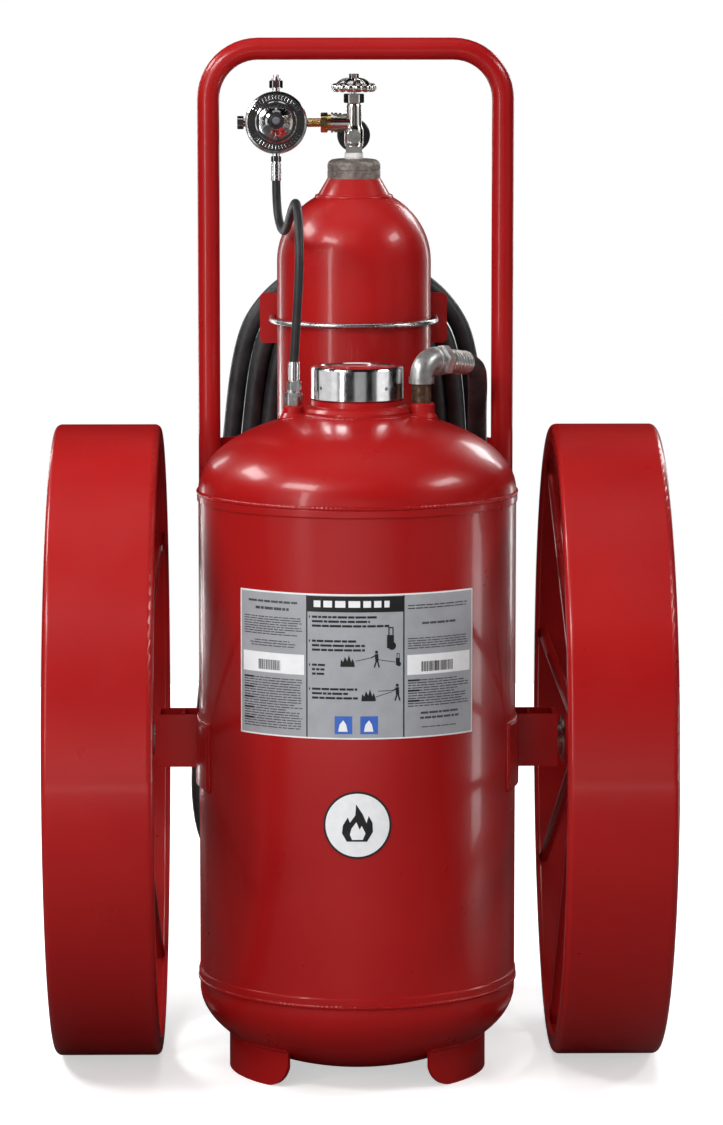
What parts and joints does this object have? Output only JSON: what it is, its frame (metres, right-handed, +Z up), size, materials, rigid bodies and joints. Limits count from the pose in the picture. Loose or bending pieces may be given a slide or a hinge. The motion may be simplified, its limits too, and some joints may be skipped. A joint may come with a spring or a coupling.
{
  "type": "wheeled fire extinguisher",
  "caption": "Wheeled dry-powder fire extinguisher with a tall steel tank, a nitrogen cylinder with regulator, a push handle, spoked steel wheels and a coiled hose with nozzle.",
  "frame": {"origin": "on the floor, midway between the two wheels and straight under their axle line", "axes": "+Z up, -Y towards the front where the tank stands, +X towards the wheel on the right of a viewer who faces the front"},
  "size_m": [0.8688, 0.9144, 1.4695],
  "materials": {
    "red_paint": "gloss",
    "chrome_plate": "polished",
    "zinc_steel": "satin",
    "galvanised": "matte",
    "cast_ring": "matte",
    "yellow_brass": "satin",
    "hose_rubber": "satin",
    "seal_rubber": "matte",
    "dry_powder": "matte",
    "black_metal": "satin",
    "black_plastic": "satin",
    "cast_aluminium": "satin",
    "clear_lens": "gloss",
    "label_plate": "satin",
    "label_ink": "satin"
  },
  "bodies": {
    "root": {"axle_brackets": "red_paint", "axle_washers_and_pins": "zinc_steel", "burst_disc_plug": "chrome_plate", "cylinder_clamp": "red_paint", "cylinder_neck_ring": "cast_ring", "cylinder_shelf": "red_paint", "cylinder_strap_and_nuts": "zinc_steel", "cylinder_valve_body": "chrome_plate", "discharge_coupling": "galvanised", "discharge_hose_coil": "hose_rubber", "discharge_hose_lead": "hose_rubber", "discharge_hose_tail": "hose_rubber", "frame_brackets": "red_paint", "gas_hose": "hose_rubber", "gas_hose_ferrules": "chrome_plate", "gauge_case": "black_metal", "gauge_lens": "clear_lens", "handle_frame": "red_paint", "hose_saddle": "red_paint", "inlet_check_valve": "zinc_steel", "nitrogen_cylinder": "red_paint", "nozzle_barrel": "black_plastic", "nozzle_clip": "red_paint", "nozzle_coupling": "cast_aluminium", "nozzle_valve": "cast_aluminium", "outlet_elbow": "galvanised", "outlet_nipple": "yellow_brass", "powder_charge": "dry_powder", "rack_post": "red_paint", "regulator_body": "chrome_plate", "regulator_bonnet": "chrome_plate", "regulator_cap": "black_plastic", "regulator_diaphragm": "seal_rubber", "regulator_fittings": "chrome_plate", "regulator_inlet_union": "yellow_brass", "regulator_spring": "zinc_steel", "siphon_and_gas_tubes": "zinc_steel", "stub_axles": "zinc_steel", "tank_bottom_head": "red_paint", "tank_feet": "red_paint", "tank_neck_and_bosses": "red_paint", "tank_shell": "red_paint", "tank_top_head": "red_paint", "valve_packing_nut": "chrome_plate"},
    "wheel_left": {"wheel_rim_left": "red_paint", "wheel_hub_and_spokes_left": "red_paint"},
    "wheel_right": {"wheel_rim_right": "red_paint", "wheel_hub_and_spokes_right": "red_paint"},
    "rollers_left": {"hub_roller_bearing_left": "zinc_steel"},
    "rollers_right": {"hub_roller_bearing_right": "zinc_steel"},
    "valve_wheel": {"handwheel": "chrome_plate", "valve_stem": "zinc_steel"},
    "valve_plug": {"valve_seat_plug": "yellow_brass"},
    "fill_closure": {"fill_closure_disc": "red_paint", "fill_gasket": "seal_rubber"},
    "fill_ring": {"fill_cap_ring": "chrome_plate"},
    "nozzle_handle": {"nozzle_lever": "cast_aluminium", "nozzle_ball": "cast_aluminium"},
    "pressure_needle": {"gauge_needle": "black_plastic"}
  },
  "joints": [
    {"name": "wheel_left_spin", "type": "hinge", "parent": "root", "child": "wheel_left", "pos_m": [-0.3582, 0, 0.4572], "axis": [1, 0, 0], "continuous": true},
    {"name": "rollers_left_spin", "type": "hinge", "parent": "root", "child": "rollers_left", "pos_m": [-0.3582, 0, 0.4572], "axis": [1, 0, 0], "continuous": true},
    {"name": "wheel_right_spin", "type": "hinge", "parent": "root", "child": "wheel_right", "pos_m": [0.3582, 0, 0.4572], "axis": [1, 0, 0], "continuous": true},
    {"name": "rollers_right_spin", "type": "hinge", "parent": "root", "child": "rollers_right", "pos_m": [0.3582, 0, 0.4572], "axis": [1, 0, 0], "continuous": true},
    {"name": "handwheel_turn", "type": "hinge", "parent": "root", "child": "valve_wheel", "pos_m": [0, 0.2385, 1.395], "axis": [0, 0, 1], "range_deg": [0, 900]},
    {"name": "valve_plug_lift", "type": "slide", "parent": "root", "child": "valve_plug", "axis": [0, 0, 1], "range_m": [0, 0.005]},
    {"name": "fill_closure_lift", "type": "slide", "parent": "root", "child": "fill_closure", "axis": [0, 0, 1], "range_m": [0, 0.024]},
    {"name": "fill_ring_turn", "type": "hinge", "parent": "fill_closure", "child": "fill_ring", "pos_m": [0, -0.105, 0.99], "axis": [0, 0, 1], "range_deg": [0, 2160]},
    {"name": "nozzle_lever_swing", "type": "hinge", "parent": "root", "child": "nozzle_handle", "pos_m": [-0.07, 0.414, 0.488], "axis": [-1, 0, 0], "range_deg": [0, 90]},
    {"name": "pressure_needle_swing", "type": "hinge", "parent": "root", "child": "pressure_needle", "pos_m": [0, 0.2839, 1.321], "axis": [0, -1, 0], "range_deg": [-189, 81]}
  ],
  "couplings": [
    {"joint": "rollers_left_spin", "follows": "wheel_left_spin", "ratio": 0.58333},
    {"joint": "rollers_right_spin", "follows": "wheel_right_spin", "ratio": 0.58333},
    {"joint": "valve_plug_lift", "follows": "handwheel_turn", "m_per_rad": 0.0003183},
    {"joint": "fill_closure_lift", "follows": "fill_ring_turn", "m_per_rad": 0.00063661}
  ]
}
